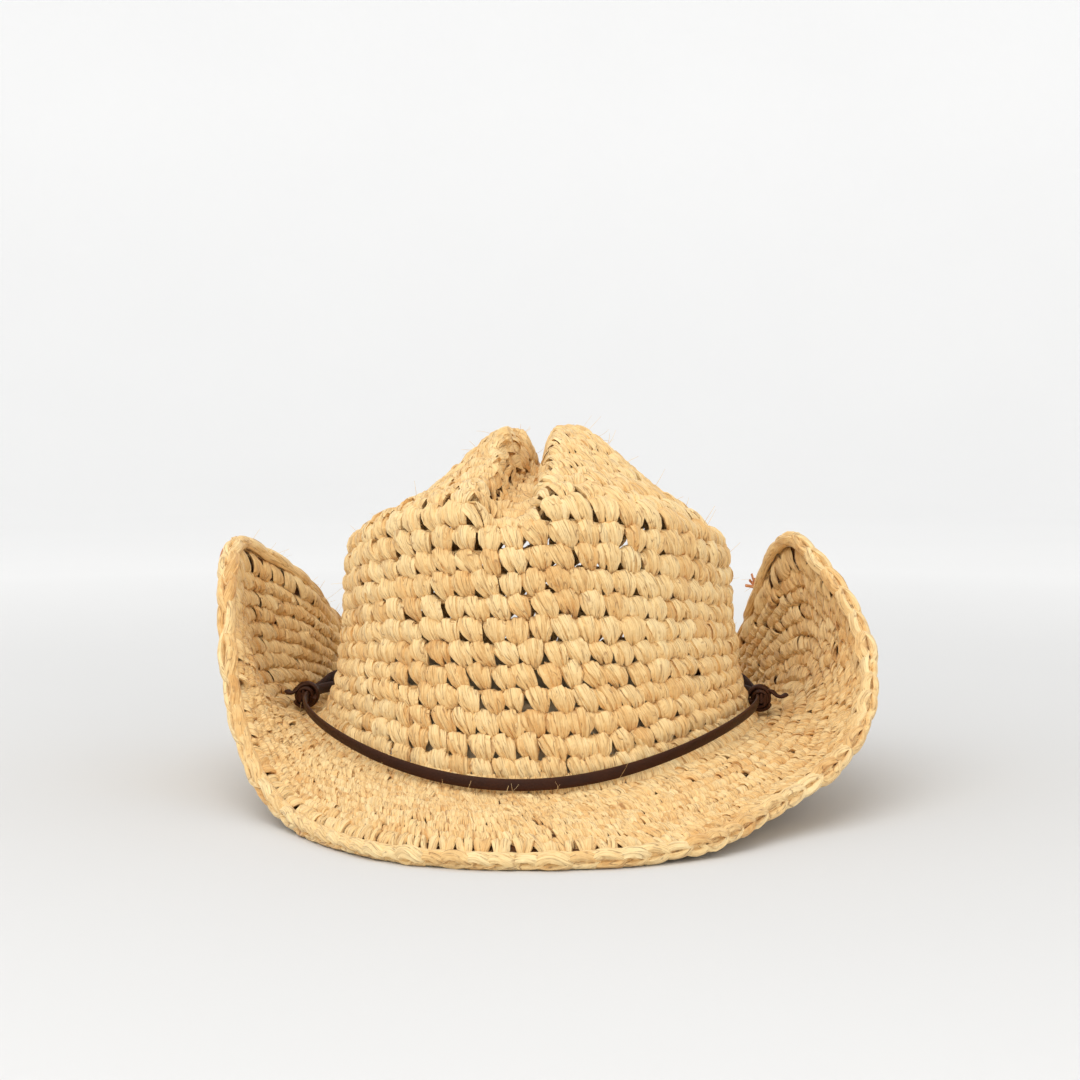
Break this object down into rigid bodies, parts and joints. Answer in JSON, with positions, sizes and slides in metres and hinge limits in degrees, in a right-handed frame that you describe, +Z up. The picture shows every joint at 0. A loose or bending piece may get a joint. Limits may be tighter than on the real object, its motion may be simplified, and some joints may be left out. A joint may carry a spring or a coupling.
{
  "type": "cowboy hat",
  "caption": "Crocheted raffia western hat with a creased crown, wired brim with upturned sides, cotton sweatband and a sliding-knot leather lace.",
  "frame": {"origin": "on the floor, under the middle of the hat's overall box", "axes": "+X to the hat's right flap as seen from its front, +Y towards the back of the hat, +Z up; the front faces -Y"},
  "size_m": [0.2942, 0.384, 0.1586],
  "materials": {
    "raffia": "crocheted natural raffia, dry, with fine fibres along each strand",
    "raffia_end": "darker end of raffia strand, tied off",
    "wire": "plain drawn steel wire",
    "sleeve": "crimped tube",
    "sweatband": "woven cotton band",
    "thread": "sewing thread",
    "lace": "dark brown flat lace, matt, a little shine along its edges"
  },
  "bodies": {
    "hat": {"crown_tip": "raffia", "crown_start_ring": "raffia", "crown_wall": "raffia", "head_line_round": "raffia", "brim": "raffia", "brim_edging": "raffia", "edging_end_tuft": "raffia_end", "edging_end_loop": "raffia_end", "brim_wire": "wire", "wire_sleeve": "sleeve", "sweatband": "sweatband", "sweatband_back_tape": "sweatband", "sweatband_stitching": "thread"},
    "hatband": {"lace_front": "lace", "lace_back_lower": "lace", "lace_back_upper": "lace"},
    "left_knot": {"knot_left": "lace", "tail_left": "lace"},
    "right_knot": {"knot_right": "lace", "tail_right": "lace"}
  },
  "joints": [
    {"name": "band_lift", "type": "slide", "parent": "hat", "child": "hatband", "axis": [0, 0, 1], "range_m": [0, 0.16]},
    {"name": "left_knot_slide", "type": "hinge", "parent": "hatband", "child": "left_knot", "pos_m": [0.02925, 0, 0.0376], "axis": [0, 0, 1], "range_deg": [-6, 6]},
    {"name": "right_knot_slide", "type": "hinge", "parent": "hatband", "child": "right_knot", "pos_m": [-0.03525, 0, 0.0376], "axis": [0, 0, 1], "range_deg": [-6, 6]}
  ]
}
